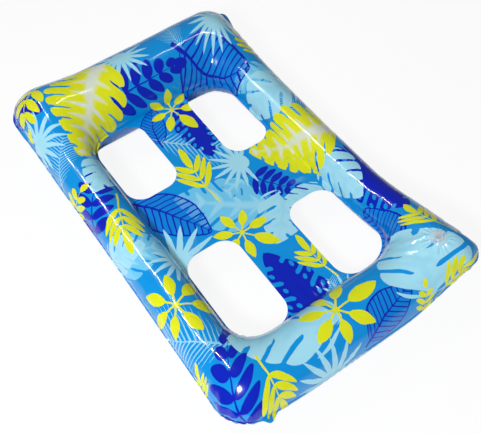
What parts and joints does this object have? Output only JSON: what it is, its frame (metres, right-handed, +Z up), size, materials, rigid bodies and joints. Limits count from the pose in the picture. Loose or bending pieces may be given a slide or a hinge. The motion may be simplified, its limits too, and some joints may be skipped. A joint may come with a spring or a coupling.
{
  "type": "inflatable leg-opening pool float",
  "caption": "Rectangular inflatable ring float with a flat cross-shaped panel, leg openings and a push-in air valve on one corner.",
  "frame": {"origin": "on the floor under the middle of the float's box, at the lowest point of the air tube", "axes": "+X along the float towards the valve end, +Y across it towards the valve side, +Z up"},
  "size_m": [0.91, 0.5726, 0.1864],
  "materials": {
    "printed_film_top": "glossy printed vinyl film with a leaf pattern in yellow, pale blue and navy on azure",
    "printed_film_base": "glossy azure vinyl film",
    "fused_weld": "vinyl film fused flat in a band",
    "clear_valve_plastic": "clear soft vinyl moulding"
  },
  "bodies": {
    "float": {"tube_top_film": "printed_film_top", "tube_bottom_film": "printed_film_base", "outer_weld_seam": "fused_weld", "inner_weld_seam": "fused_weld", "panel_top_sheet": "printed_film_top", "panel_bottom_sheet": "printed_film_base", "valve_flange": "clear_valve_plastic"},
    "neck": {"valve_neck": "clear_valve_plastic"},
    "cap": {"valve_cap": "clear_valve_plastic", "cap_strap": "clear_valve_plastic"},
    "flap": {"check_flap": "clear_valve_plastic"}
  },
  "joints": [
    {"name": "neck_pull", "type": "slide", "parent": "float", "child": "neck", "axis": [0.1061, -0.3289, 0.9384], "range_m": [0, 0.011]},
    {"name": "cap_fold", "type": "hinge", "parent": "neck", "child": "cap", "pos_m": [0.38617, 0.23079, 0.17229], "axis": [-0.9895, -0.1284, 0.0669], "range_deg": [0, 150]},
    {"name": "flap_fold", "type": "hinge", "parent": "neck", "child": "flap", "pos_m": [0.38461, 0.23111, 0.14972], "axis": [0.9895, 0.1284, -0.0669], "range_deg": [0, 60], "stiffness_Nm_per_rad": 0.0001, "springref_deg": -17.19}
  ]
}
